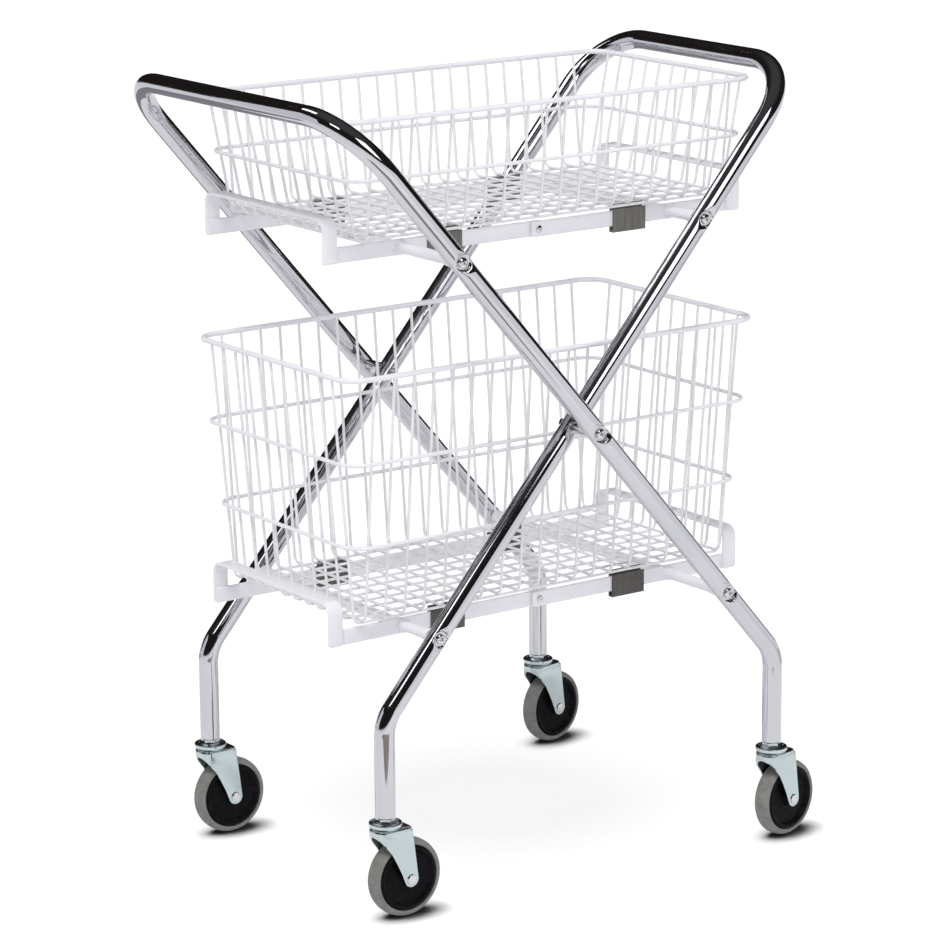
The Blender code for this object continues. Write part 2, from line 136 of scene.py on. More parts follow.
LONG_WIRES = 11
CROSS_WIRES = 20
TRAIL = 0.0235
AXLE_HEAD_R = 0.0055
FORK_INNER = 0.0127
FORK_T = 0.0024
FORK_TIP = 0.0090
CROWN_TOP = 0.1035
CROWN_R = 0.0175
CROWN_REAR = 0.0275
CROWN_HALF = 0.0150            # flush with the outer faces of the legs
STEM_R = 0.0092

ENDS = {"front": -1, "rear": 1}
SIDES = {"left": -1, "right": 1}
SHELVES = {"upper": 1, "lower": -1}
FLOOR_LIFT = 1.1               # strength of the floor's glow where the camera sees it, outside the painted shadows
PAINTED_SHADOW_NORMAL = (-0.40, 0.10, 0.91)   # leans to -X, so the painted contact shadows fall toward +X
PAINTED_SHADOW_REACH = 0.036           # how far above the floor a thing still darkens the glow into painted shadow
RINGS = {"upper": (0.8000,), "lower": (0.4976, 0.4040)}
TAPERS = {                     # how much the end and side walls lean in for each metre down
    "upper": (0.205, 0.110),
    "lower": (0.089, 0.085),
}

looks = {}


# Meshes

def finished(mesh, weld=0.000001):
    """Weld coincident points, face the surface outward and shade it smooth."""
    work = bmesh.new()
    work.from_mesh(mesh)
    bmesh.ops.remove_doubles(work, verts=work.verts, dist=weld)
    bmesh.ops.dissolve_degenerate(work, edges=work.edges, dist=weld)
    bmesh.ops.recalc_face_normals(work, faces=work.faces)
    work.to_mesh(mesh)
    work.free()
    mesh.shade_smooth()
    mesh.set_sharp_from_angle(angle=math.radians(38.0))
    return mesh


def joined(name, meshes):
    work = bmesh.new()
    for mesh in meshes:
        work.from_mesh(mesh)
    result = bpy.data.meshes.new(name)
    work.to_mesh(result)
    work.free()
    for mesh in meshes:
        bpy.data.meshes.remove(mesh)
    return result


def skin(name, rings, closed=False, caps=True):
    """A surface over rings that all have the same number of points."""
    count = len(rings[0])
    faces = []
    for i in range(len(rings) if closed else len(rings) - 1):
        j = (i + 1) % len(rings)
        for k in range(count):
            m = (k + 1) % count
            faces.append((i * count + k, i * count + m, j * count + m, j * count + k))
    if caps and not closed:
        faces.append(tuple(reversed(range(count))))
        faces.append(tuple(range((len(rings) - 1) * count, len(rings) * count)))
    mesh = bpy.data.meshes.new(name)
    mesh.from_pydata([p for ring in rings for p in ring], [], faces)
    return mesh


def turned(name, profile, steps, matrix=Matrix(), closed=False, phase=0.0):
    """A profile of (radius, height) pairs turned about the matrix's Z axis."""
    rings = []
    for radius, height in profile:
        angles = [phase + 2 * math.pi * k / steps for k in range(steps)]
        rings.append([matrix @ Vector((radius * math.cos(a), radius * math.sin(a), height))
                      for a in angles])
    return skin(name, rings, closed, caps=False)


def arc(middle, radius, start, end, steps):
    """Points of a flat arc, angles in degrees."""
    angles = [math.radians(start + (end - start) * i / steps) for i in range(steps + 1)]
    return [(middle[0] + radius * math.cos(a), middle[1] + radius * math.sin(a)) for a in angles]


def fillet(before, corner, after, radius, steps):
    """Points of the arc that rounds a corner between two straight runs."""
    corner = Vector(corner)
    into = (Vector(before) - corner).normalized()
    out = (Vector(after) - corner).normalized()
    half = into.angle(out) / 2
    middle = corner + (into + out).normalized() * (radius / math.sin(half))
    start = corner + into * (radius / math.tan(half)) - middle
    end = corner + out * (radius / math.tan(half)) - middle
    turn = start.angle(end)
    points = []
    for i in range(steps + 1):
        t = i / steps
        mixed = start * math.sin((1 - t) * turn) + end * math.sin(t * turn)
        points.append(middle + mixed / math.sin(turn))
    return points


def softened(points, radius, steps=3, closed=True):
    """A flat outline with each corner rounded as far as its edges allow."""
    flat = [Vector((x, y, 0.0)) for x, y in points]
    result = []
    for i, corner in enumerate(flat):
        before = flat[i - 1]
        after = flat[(i + 1) % len(flat)]
        at_end = not closed and i in (0, len(flat) - 1)
        bend = 0.0 if at_end else (before - corner).angle(after - corner, math.pi)
        if at_end or bend > math.radians(172):
            result.append((corner.x, corner.y))
            continue
        room = 0.48 * min((before - corner).length, (after - corner).length)
        size = min(radius, room * math.tan(bend / 2))
        result += [(p.x, p.y) for p in fillet(before, corner, after, size, steps)]
    return result


def path_axes(points, side, closed=False):
    """Tangent, side and over axes along a line, turned as little as possible."""
    axes = []
    side = Vector(side)
    for i, place in enumerate(points):
        before = points[i - 1] if i or closed else place
        after = points[(i + 1) % len(points)] if i < len(points) - 1 or closed else place
        tangent = ((place - before).normalized() + (after - place).normalized()).normalized()
        side = (side - tangent * side.dot(tangent)).normalized()
        axes.append((tangent, side, tangent.cross(side)))
    return axes


def swept(name, points, section, side, closed=False, widths=None):
    """A bar of any section along a line; widths narrows its first axis point by point."""
    points = [Vector(p) for p in points]
    rings = []
    for i, (tangent, across, over) in enumerate(path_axes(points, side, closed)):
        wide = widths[i] if widths else 1.0
        rings.append([points[i] + across * (a * wide) + over * b for a, b in section])
    return skin(name, rings, closed)


def circle(radius, sides):
    return arc((0.0, 0.0), radius, 0.0, 360.0 - 360.0 / sides, sides - 1)


def bar_section(width, thickness, radius, steps=3):
    corners = [(width / 2, thickness / 2), (-width / 2, thickness / 2),
               (-width / 2, -thickness / 2), (width / 2, -thickness / 2)]
    return softened(corners, radius, steps)


def plate(name, outline, thickness, matrix, edge):
    """A flat outline with a thickness and rounded rims, centred on its own plane."""
    work = bmesh.new()
    face = work.faces.new([work.verts.new((x, y, -thickness / 2)) for x, y in outline])
    grown = bmesh.ops.extrude_face_region(work, geom=[face])
    moved = [v for v in grown["geom"] if isinstance(v, bmesh.types.BMVert)]
    bmesh.ops.translate(work, vec=(0.0, 0.0, thickness), verts=moved)
    rims = [e for e in work.edges if any(len(f.verts) > 4 for f in e.link_faces)]
    bmesh.ops.bevel(work, geom=rims, offset=edge, segments=2, profile=0.5, affect="EDGES")
    bmesh.ops.transform(work, matrix=matrix, verts=work.verts)
    mesh = bpy.data.meshes.new(name)
    work.to_mesh(mesh)
    work.free()
    return mesh


def upright(place, axis):
    """A matrix whose Z axis points along axis, standing at place."""
    turn = Vector(axis).to_track_quat("Z", "Y").to_matrix().to_4x4()
    return Matrix.Translation(place) @ turn


def add_piece(mesh, look, *nodes):
    """Put a finished mesh in the scene in place of the CAD nodes it stands for."""
    made = bpy.data.objects.new(nodes[0] + "_detail", finished(mesh))
    mesh.name = made.name
    mesh.materials.append(looks[look])
    bpy.context.scene.collection.objects.link(made)
    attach(made, frame["nodes"][nodes[0]]["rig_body"])
    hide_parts(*nodes)
    return made


# Crossed frames

def leg_point(lean, side_y, reach):
    """A point on a leg's centre line, reach measured up from the pivot."""
    return Vector((lean * reach * math.sin(LEAN), side_y, PIVOT_Z + reach * math.cos(LEAN)))


def tube_path(lean, half):
    """Foot, leg, handle, leg, foot, with close points where the dimples are."""
    corner_reach = -FOOT_X / math.sin(LEAN)
    foot = Vector((-lean * FOOT_X, -half, FOOT_Z))
    foot_corner = leg_point(lean, -half, corner_reach)
    handle_corner = leg_point(lean, -half, HANDLE_REACH)
    far_corner = leg_point(lean, half, HANDLE_REACH)
    near = [foot] + fillet(foot, foot_corner, handle_corner, FOOT_BEND, 16)
    for reach in (-BOLT_REACH, 0.0, BOLT_REACH):
        near += [leg_point(lean, -half, reach + 0.001 * i) for i in range(-27, 28)]
    near += fillet(foot_corner, handle_corner, far_corner, HANDLE_BEND, 28)
    return near + [Vector((p.x, -p.y, p.z)) for p in reversed(near)]


def smooth_step(t):
    t = min(max(t, 0.0), 1.0)
    return t * t * (3.0 - 2.0 * t)


def soft_min(a, b, blend):
    near = max(blend - abs(a - b), 0.0) / blend
    return min(a, b) - near * near * blend / 4


def dimple_level(along, aside):
    """Height of the pressed surface over the leg's centre line, by distance from the screw."""
    soft = DIMPLE_DEPTH + (TUBE_R + 0.002 - DIMPLE_DEPTH) * smooth_step(abs(along) / DIMPLE_REACH)
    coin = smooth_step((math.hypot(along, aside) - COIN_R) / 0.0016)
    return SEAT_DEPTH + (soft - SEAT_DEPTH) * coin


def press_dimples(mesh, lean, half, reaches):
    """Press the seats of the screw heads into the outer side of both legs."""
    along = Vector((lean * math.sin(LEAN), 0.0, math.cos(LEAN)))
    aside = Vector((math.cos(LEAN), 0.0, -lean * math.sin(LEAN)))
    for vertex in mesh.vertices:
        spot = vertex.co - Vector((0.0, 0.0, PIVOT_Z))
        outward = abs(vertex.co.y) - half
        for reach in reaches:
            if outward > 0.0 and abs(spot.dot(along) - reach) < DIMPLE_REACH + 0.002:
                level = dimple_level(spot.dot(along) - reach, spot.dot(aside))
                outward = soft_min(outward, level, 0.0012)
                vertex.co.y = math.copysign(half + outward, vertex.co.y)


def frame_tube(node, lean, half, reaches):
    """A bent tube with open ends and a dimple under each screw head."""
    points = tube_path(lean, half)
    axes = path_axes(points, (0.0, 1.0, 0.0))
    rings = []

    def ring(i, radius, inset=0.0):
        tangent, side, over = axes[i]
        start = points[i] + tangent * inset
        return [start + side * a + over * b for a, b in circle(radius, 64)]

    inner = TUBE_R - TUBE_WALL
    rings += [ring(0, inner, 0.015), ring(0, inner), ring(0, TUBE_R - 0.0004)]
    rings += [ring(0, TUBE_R, 0.0004)]
    rings += [ring(i, TUBE_R) for i in range(1, len(points) - 1)]
    rings += [ring(-1, TUBE_R, -0.0004), ring(-1, TUBE_R - 0.0004)]
    rings += [ring(-1, inner), ring(-1, inner, -0.015)]
    mesh = skin(node, rings)
    press_dimples(mesh, lean, half, reaches)
    add_piece(mesh, "chrome", node)


# Fasteners

def dome(radius, height, shoulder, steps):
    """Profile of a round head from its top to its shoulder."""
    points = []
    for i in range(steps + 1):
        a = math.radians(90.0 * i / steps)
        points.append((radius * math.sin(a), shoulder + (height - shoulder) * math.cos(a)))
    return points


def screw_mesh(name, head_r, head_h, shank_r, length, matrix):
    profile = dome(head_r, head_h, head_h * 0.18, 10) + [(head_r, 0.0003), (head_r - 0.0003, 0.0)]
    profile += [(shank_r, 0.0), (shank_r, 0.0006 - length), (shank_r - 0.0006, -length)]
    return turned(name, profile + [(0.0, -length)], 32, matrix)


def cross_recess(name, head_h, matrix):
    """The dark bottom of a cross-shaped driver recess, just under the top of the head."""
    arm = 0.0026
    wide = 0.0007
    outline = []
    for turn in range(4):
        a = math.radians(90.0 * turn)
        for x, y in ((arm, -wide * 0.7), (arm, wide * 0.7), (wide, wide)):
            outline.append((x * math.cos(a) - y * math.sin(a), x * math.sin(a) + y * math.cos(a)))
    place = matrix @ Matrix.Translation((0.0, 0.0, head_h - 0.0009))
    return plate(name, outline, 0.003, place, 0.0001)


def cut(mesh, cutter):
    """Take one closed mesh out of another."""
    body = bpy.data.objects.new("cut_body", mesh)
    tool = bpy.data.objects.new("cut_tool", cutter)
    for item in (body, tool):
        finished(item.data)
        bpy.context.scene.collection.objects.link(item)
    step = body.modifiers.new("Cut", "BOOLEAN")
    step.operation = "DIFFERENCE"
    step.solver = "EXACT"
    step.object = tool
    bpy.context.view_layer.update()
    graph = bpy.context.evaluated_depsgraph_get()
    result = bpy.data.meshes.new_from_object(body.evaluated_get(graph))
    for item in (body, tool):
        data = item.data
        bpy.data.objects.remove(item, do_unlink=True)
        bpy.data.meshes.remove(data)
    return result


def screw(node, sign):
    """A round cross-recessed head in its dimple, on the CAD screw's axis."""
    outer = high(node).y if sign > 0 else low(node).y
    spot = Vector((centre(node).x, outer - sign * HEAD_H, centre(node).z))
    matrix = upright(spot, (0.0, sign, 0.0))
    mesh = screw_mesh(node, HEAD_R, HEAD_H, SHANK_R, span(node).y - HEAD_H, matrix)
    turn = Matrix.Rotation(math.radians(spot.x * 900.0 + 20.0), 4, "Z")
    recess = cross_recess(node + "_recess", HEAD_H, matrix @ turn)
    add_piece(cut(mesh, recess), "bright_steel", node)


def spacer(node):
    half = span(node).y / 2
    bore = SHANK_R + 0.0002
    profile = softened([(SPACER_R, half), (SPACER_R, -half), (bore, -half), (bore, half)], 0.0006)
    mesh = turned(node, profile, 40, upright(centre(node), (0.0, 1.0, 0.0)), closed=True)
    add_piece(mesh, "bright_steel", node)


def nut(node):
    """A hexagon nut with chamfered corners and a rounded collar."""
    half = span(node).y / 2
    matrix = upright(centre(node), (0.0, 1.0, 0.0))
    flats = [(0.0, half), (NUT_R - 0.0010, half), (NUT_R, half - 0.0007),
             (NUT_R, 0.0007 - half), (NUT_R - 0.0010, -half), (0.0, -half)]
    collar = turned(node, dome(0.0045, half + 0.0016, half - 0.0005, 5) + [(0.0, 0.0)], 24, matrix)
    under = turned(node, dome(0.0045, half + 0.0016, half - 0.0005, 5) + [(0.0, 0.0)], 24,
                   matrix @ Matrix.Rotation(math.pi, 4, "X"))
    add_piece(joined(node, [turned(node, flats, 6, matrix), collar, under]), "bright_steel", node)


def mid_rivet(node, sign):
    """A low domed rivet with a small dent at its centre."""
    outer = high(node).y if sign > 0 else low(node).y
    head = 0.0016
    spot = Vector((centre(node).x, outer - sign * head, centre(node).z))
    profile = [(0.0, head - 0.0007), (0.0008, head - 0.0005), (0.0013, head)]
    profile += dome(RIVET_R, head, head * 0.25, 8)[3:] + [(RIVET_R, 0.0)]
    profile += [(RIVET_R * 0.5, 0.0), (RIVET_R * 0.5, -0.004), (0.0, -0.004)]
    mesh = turned(node, profile, 32, upright(spot, (0.0, sign, 0.0)))
    add_piece(mesh, "bright_steel", node)


# Shelves

def cross_tube(node, face):
    """A cross tube with weld collars at the rails and a slight flare at each end."""
    half = span(node).y / 2
    inner = face - RAIL_T
    right = [(CROSS_R, 0.0), (CROSS_R, inner - 0.008), (CROSS_R + 0.0016, inner - 0.0015)]
    right += [(CROSS_R + 0.0019, inner), (CROSS_R + 0.0022, face),
              (CROSS_R + 0.0020, face + 0.0016)]
    right += [(CROSS_R + 0.0007, face + 0.0050), (CROSS_R - 0.0002, face + 0.0110)]
    right += [(CROSS_R - 0.0002, half - 0.016), (CROSS_R + 0.0009, half - 0.006)]
    right += [(CROSS_R + 0.0012, half - 0.001), (CROSS_R + 0.0006, half), (0.0034, half)]
    profile = [(r, -y) for r, y in reversed(right[1:])] + right
    profile = softened(profile, 0.004, 3, closed=False)
    mesh = turned(node, profile, 40, upright(centre(node), (0.0, 1.0, 0.0)))
    add_piece(mesh, "white_enamel", node)


def rounded_end_widths(lengths, half_width, radius):
    """How much narrower a bar is at each distance from its rounded end."""
    widths = []
    for length in lengths:
        short = max(radius - length, 0.0)
        widths.append((half_width - radius + math.sqrt(radius ** 2 - short ** 2)) / half_width)
    return widths


def rail_mesh(name, end_sign, side_sign, face, level):
    """A flat bar with a full rounded top, from past the middle rivet into the strap."""
    start = -end_sign * RAIL_LAP
    stop = end_sign * (POST_X - 0.0025)
    lengths = [0.0003, 0.0008, 0.0016, 0.0026, 0.004, 0.006, 0.05]
    xs = [start + end_sign * d for d in lengths] + [stop]
    widths = rounded_end_widths(lengths, RAIL_H / 2, 0.0040) + [1.0]
    y = side_sign * (face - RAIL_T / 2)
    section = bar_section(RAIL_H, RAIL_T, 0.0017, 5)
    return swept(name, [(x, y, level) for x in xs], section, (0.0, 0.0, 1.0), widths=widths)


def strap_mesh(name, end_sign, face, level):
    """The end strap: up one rail, across and down to the other, with rounded ends."""
    x = end_sign * (POST_X - POST_W / 2)
    middle = face + STRAP_PROUD - STRAP_T / 2
    bottom = Vector((x, -middle, level - RAIL_H / 2))
    corner = Vector((x, -middle, level + STRAP_TOP - STRAP_T / 2))
    far = Vector((x, middle, corner.z))
    lengths = [0.0003, 0.0008, 0.0016, 0.0026, 0.004, 0.006]
    half = [bottom + Vector((0.0, 0.0, d)) for d in lengths]
    half += fillet(bottom, corner, far, STRAP_BEND, 10)
    widths = rounded_end_widths(lengths, POST_W / 2, 0.0045)
    widths += [1.0] * (len(half) - len(lengths))
    points = half + [Vector((p.x, -p.y, p.z)) for p in reversed(half)]
    section = bar_section(POST_W, STRAP_T, 0.0011, 4)
    return swept(name, points, section, (1.0, 0.0, 0.0), widths=widths + widths[::-1])


def weld_mesh(name, start, end, radius):
    """A short uneven bead."""
    start = Vector(start)
    end = Vector(end)
    points = [start.lerp(end, i / 12) for i in range(13)]
    side = (1.0, 0.0, 0.0) if abs((end - start).x) < 0.001 else (0.0, 0.0, 1.0)
    widths = [0.35 + 0.65 * math.sin(math.pi * (i + 0.6) / 13.2) ** 0.5 + 0.12 * math.sin(i * 2.1)
              for i in range(13)]
    rings = []
    for i, (tangent, across, over) in enumerate(path_axes(points, side)):
        size = radius * widths[i]
        rings.append([points[i] + across * (a * size) + over * (b * size)
                      for a, b in circle(1.0, 10)])
    return skin(name, rings)


def half_frame(node, end_sign, face):
    """Two rails and the end strap, welded together."""
    level = high(node).z - STRAP_TOP
    meshes = [strap_mesh(node, end_sign, face, level)]
    inner_x = end_sign * (POST_X - POST_W)
    for side_sign in (-1, 1):
        meshes.append(rail_mesh(node, end_sign, side_sign, face, level))
        y = side_sign * (face + 0.0001)
        meshes.append(weld_mesh(node, (inner_x, y, level - RAIL_H * 0.42),
                                (inner_x, y, level + RAIL_H * 0.42), 0.0011))
    add_piece(joined(node, meshes), "white_enamel", node)


def clip(node, sign):
    """A moulded channel round a rail; its inner wall holds the basket's outer wire."""
    outer = high(node).y if sign > 0 else -low(node).y
    inner = outer - span(node).y
    top = high(node).z
    bottom = low(node).z
    floor = bottom + CLIP_T
    outline = [(outer, top - CLIP_STEP), (outer - CLIP_T, top - CLIP_STEP),
               (outer - CLIP_T, floor), (inner + CLIP_T, floor), (inner + CLIP_T, top),
               (inner, top), (inner, bottom), (outer, bottom)]
    soft = softened(outline, 0.0007, 3)
    if sign < 0:
        soft = [(-y, z) for y, z in soft]
    turn = Matrix(((0, 0, 1, 0), (1, 0, 0, 0), (0, 1, 0, 0), (0, 0, 0, 1)))
    place = Matrix.Translation((centre(node).x, 0.0, 0.0)) @ turn
    add_piece(plate(node, soft, CLIP_W, place, 0.0003), "clip_grey", node)


# Baskets

def loop_points(half_x, half_y, z, corner=RIM_CORNER):
    points = []
    for start, sx, sy in ((0, 1, 1), (90, -1, 1), (180, -1, -1), (270, 1, -1)):
        middle = (sx * (half_x - corner), sy * (half_y - corner))
        points += [Vector((x, y, z)) for x, y in arc(middle, corner, start, start + 90, 12)]
    return points


def basket_half(rim, axis, taper, z):
    """Half-width of the wall's centre at a height."""
    return span(rim)[axis] / 2 - RIM_R - taper[axis] * (centre(rim).z - z)


def hanging_wire(name, rim, axis, offset, taper, bottom):
    """One wire: down a wall from the rim, across the bottom and up the other wall."""
    top_z = centre(rim).z

    def place(along, z):
        point = Vector((centre(rim).x, centre(rim).y, z))
        point[axis] += along
        point[1 - axis] += offset
        return point

    start = place(-basket_half(rim, axis, taper, top_z) + 0.0012, top_z)
    corner = place(-basket_half(rim, axis, taper, bottom) + 0.0012, bottom)
    across = place(0.0, bottom)
    half = [start] + fillet(start, corner, across, BASKET_BEND, 9)
    mirrored = []
    for point in reversed(half):
        other = point.copy()
        other[axis] = 2 * centre(rim)[axis] - other[axis]
        mirrored.append(other)
    side = (0.0, 1.0, 0.0) if axis == 0 else (1.0, 0.0, 0.0)
    return swept(name, half + mirrored, circle(WIRE_R, 12), side)


def spread(count, reach):
    return [reach * (2 * i / (count - 1) - 1) for i in range(count)]


def basket(shelf):
    """The rim, the rings and every hanging wire of a basket."""
    rim = shelf + "_basket_rim"
    tub = shelf + "_basket_wires"
    taper = TAPERS[shelf]
    shift = Vector((centre(rim).x, 0.0, 0.0))
    loop = loop_points(basket_half(rim, 0, taper, centre(rim).z),
                       basket_half(rim, 1, taper, centre(rim).z), centre(rim).z)
    points = [p + shift for p in loop]
    add_piece(swept(rim, points, circle(RIM_R, 20), (0.0, 0.0, 1.0), closed=True),
              "white_enamel", rim)
    floor = low(tub).z
    flat_x = basket_half(rim, 0, taper, floor) - BASKET_BEND
    flat_y = basket_half(rim, 1, taper, floor) - BASKET_BEND
    meshes = []
    for x in spread(CROSS_WIRES, flat_x):
        meshes.append(hanging_wire(tub, rim, 1, x, taper, floor + WIRE_R))
    for y in spread(LONG_WIRES, flat_y):
        meshes.append(hanging_wire(tub, rim, 0, y, taper, floor - 0.9 * WIRE_R))
    for z in RINGS[shelf]:
        gap = RING_R + WIRE_R * 0.7
        ring = loop_points(basket_half(rim, 0, taper, z) + gap,
                           basket_half(rim, 1, taper, z) + gap, z)
        meshes.append(swept(tub, [p + shift for p in ring], circle(RING_R, 14), (0.0, 0.0, 1.0),
                            closed=True))
    add_piece(joined(tub, meshes), "white_coating", tub)


# Casters

def caster_turn(node):
    """A caster's own frame: its swivel axis upright, X along its trail, on the floor."""
    label = node.split("_", 2)[2]
    stem = centre("caster_stem_" + label)
    axle = centre("caster_axle_" + label)
    swivel = math.atan2(axle.y - stem.y, axle.x - stem.x)
    return Matrix.Translation((stem.x, stem.y, 0.0)) @ Matrix.Rotation(swivel, 4, "Z")


def wheel_axis(node):
    """A wheel's axis: the caster's own Y."""
    return caster_turn(node).to_3x3() @ Vector((0.0, 1.0, 0.0))


def caster_stem(node):
    """Stem, hexagon collar and dished raceway."""
    matrix = caster_turn(node)
    top = high(node).z
    stem = [(0.0, top), (STEM_R - 0.001, top), (STEM_R, top - 0.001), (STEM_R, 0.112),
            (0.0, 0.112)]
    collar = [(0.0, FOOT_Z - 0.0002), (0.0098, FOOT_Z - 0.0002), (0.0108, FOOT_Z - 0.0009),
              (0.0108, 0.1118), (0.0, 0.1118)]
    race = [(0.0, 0.1122), (0.0122, 0.1118), (0.0133, 0.1106), (0.0152, 0.1096),
            (0.0166, 0.1100), (0.0176, 0.1102), (0.0182, 0.1094), (0.0182, 0.1064),
            (0.0176, 0.1056), (0.0156, 0.1052), (0.0150, CROWN_TOP + 0.0002),
            (0.0, CROWN_TOP + 0.0002)]
    meshes = [turned(node, softened(stem, 0.0006, 3, closed=False), 32, matrix),
              turned(node, collar, 6, matrix, phase=0.4),
              turned(node, softened(race, 0.0008, 3, closed=False), 56, matrix)]
    add_piece(joined(node, meshes), "zinc", node)


def crown_outline():
    side_angle = math.degrees(math.asin(CROWN_HALF / CROWN_R))
    nose = arc((0.0, 0.0), CROWN_R, 180 - side_angle, 180 + side_angle, 24)
    rear = arc((CROWN_REAR - 0.007, 0.007 - CROWN_HALF), 0.007, 270, 360, 6)
    rear += arc((CROWN_REAR - 0.007, CROWN_HALF - 0.007), 0.007, 0, 90, 6)
    sides = [(x * 0.002, -CROWN_HALF) for x in range(-3, 9)]
    back = [(x, CROWN_HALF) for x, _ in reversed(sides)]
    return nose + sides + rear + back


def inset(outline, distance):
    """The outline moved inward along its own normals."""
    result = []
    for i, (x, y) in enumerate(outline):
        before = Vector(outline[i - 1])
        after = Vector(outline[(i + 1) % len(outline)])
        run = (after - before).normalized()
        result.append((x - run.y * distance, y + run.x * distance))
    return result


def skirt_drop(x):
    """Depth of the crown's turned-down edge: it deepens from the nose into the legs."""
    into_leg = min(0.0067 * (max(x + CROWN_R, 0.0) / 0.0068) ** 1.5, 0.0111)
    behind = smooth_step((x - 0.004) / 0.014)
    return 0.0078 + into_leg - 0.0139 * behind


def crown_mesh(name, matrix):
    """The fork's top: a plate whose edge is rolled over and turned down."""
    outline = crown_outline()
    roll = 0.0030
    rings = []

    def ring(inward, height):
        moved = inset(outline, inward)
        return [matrix @ Vector((x, y, height(x))) for x, y in moved]

    for i in range(7):
        a = math.radians(90.0 * i / 6)
        drop = roll * (1 - math.cos(a))
        rings.append(ring(roll * (1 - math.sin(a)), lambda x, d=drop: CROWN_TOP - d))
    rings.append(ring(0.0, lambda x: CROWN_TOP - skirt_drop(x) + 0.0004))
    rings.append(ring(0.0005, lambda x: CROWN_TOP - skirt_drop(x)))
    rings.append(ring(FORK_T, lambda x: CROWN_TOP - skirt_drop(x)))
    rings.append(ring(FORK_T, lambda x: CROWN_TOP - FORK_T))
    return skin(name, rings)


def fork_leg_outline():
    """One fork leg in X and Z: wide under the crown, hollowed in front, round at the axle."""
    tip = arc((TRAIL, WHEEL_R), FORK_TIP, 0, -150, 16)
    top = [(-0.0080, CROWN_TOP - 0.003), (CROWN_REAR - 0.002, CROWN_TOP - 0.003)]
    front = [(0.0096, 0.0546), (0.0038, 0.0663), (-0.0020, 0.0768), (-0.0080, 0.0846)]
    return top + tip + softened([tip[-1]] + front, 0.02, 4, closed=False)[1:]


def caster_fork(node):
    """A stamped fork: rolled crown and two plates."""
    matrix = caster_turn(node)
    meshes = [crown_mesh(node, matrix)]
    stand = Matrix.Rotation(math.pi / 2, 4, "X")
    for sign in (-1, 1):
        middle = Matrix.Translation((0.0, sign * (FORK_INNER + FORK_T / 2), 0.0))
        meshes.append(plate(node, fork_leg_outline(), FORK_T, matrix @ middle @ stand, 0.0006))
    add_piece(joined(node, meshes), "zinc", node)


def caster_axle(node):
    """An axle rivet with a domed head at each end."""
    head = AXLE_REACH - 0.0016
    matrix = upright(centre(node), wheel_axis(node))
    shaft = AXLE_REACH - 0.0019
    right = [(0.0040, shaft), (AXLE_HEAD_R, head), (AXLE_HEAD_R, head + 0.0003)]
    right += [(r, z + head) for r, z in reversed(dome(AXLE_HEAD_R, 0.0016, 0.0004, 7))]
    profile = [(r, -z) for r, z in reversed(right)] + right
    add_piece(turned(node, profile, 32, matrix), "bright_steel", node)


def wheel_hub(node):
    """A dished hub with a raised rim and a boss at the axle."""
    half = WHEEL_W / 2
    bore = 0.0043
    side = [(bore, half), (0.0085, half), (0.0097, half - 0.0040), (0.0290, half - 0.0048),
            (0.0318, half - 0.0010), (0.0335, half - 0.0002), (0.0352, half - 0.0010),
            (HUB_R, half - 0.0022)]
    profile = side + [(r, -z) for r, z in reversed(side)]
    matrix = upright(centre(node), wheel_axis(node))
    add_piece(turned(node, softened(profile, 0.0012, 3), 72, matrix, closed=True),
              "hub_black", node)


def wheel_tread(node):
    """A tyre with round shoulders and a slightly crowned face."""
    half = WHEEL_W / 2
    inner = HUB_R + 0.0003
    side = [(inner, half - 0.0014), (inner + 0.0022, half - 0.0008),
            (WHEEL_R - 0.0035, half - 0.0016), (WHEEL_R - 0.0012, half - 0.0040),
            (WHEEL_R - 0.0003, half - 0.0070)]
    profile = side + [(WHEEL_R, 0.0)] + [(r, -z) for r, z in reversed(side)]
    matrix = upright(centre(node), wheel_axis(node))
    add_piece(turned(node, softened(profile, 0.0016, 3), 96, matrix, closed=True),
              "tread_grey", node)


# Materials

def material(name, roughness, metallic=0.0):
    made = bpy.data.materials.new(name + "_look")
    made.use_nodes = True
    shader = made.node_tree.nodes["Principled BSDF"]
    shader.inputs["Roughness"].default_value = roughness
    shader.inputs["Metallic"].default_value = metallic
    looks[name] = made
    return made.node_tree, shader


def add_node(tree, kind, **values):
    """A node with its named inputs set; a linked input takes a socket instead of a value."""
    made = tree.nodes.new(kind)
    for name, value in values.items():
        socket = made.inputs[name.replace("_", " ")]
        if isinstance(value, bpy.types.NodeSocket):
            tree.links.new(value, socket)
        else:
            socket.default_value = value
    return made


def coordinates(tree, stretch=(1.0, 1.0, 1.0)):
    spot = tree.nodes.new("ShaderNodeTexCoord").outputs["Object"]
    return add_node(tree, "ShaderNodeMapping", Vector=spot, Scale=stretch).outputs["Vector"]


def noise(tree, scale, detail=2.0, stretch=(1.0, 1.0, 1.0)):
    made = add_node(tree, "ShaderNodeTexNoise", Vector=coordinates(tree, stretch),
                    Scale=scale, Detail=detail)
    return made.outputs["Fac"]


def ramp(tree, factor, stops):
    """Colours against a factor, as (position, colour) pairs."""
    made = add_node(tree, "ShaderNodeValToRGB", Fac=factor)
    points = made.color_ramp.elements
    while len(points) < len(stops):
        points.new(0.5)
    for point, (position, colour) in zip(points, stops):
        point.position = position
        point.color = (*colour, 1.0)
    return made.outputs["Color"]


def remapped(tree, factor, low_out, high_out, low_in=0.3, high_in=0.7):
    made = tree.nodes.new("ShaderNodeMapRange")
    tree.links.new(factor, made.inputs["Value"])
    for name, value in (("From Min", low_in), ("From Max", high_in),
                        ("To Min", low_out), ("To Max", high_out)):
        made.inputs[name].default_value = value
    return made.outputs["Result"]


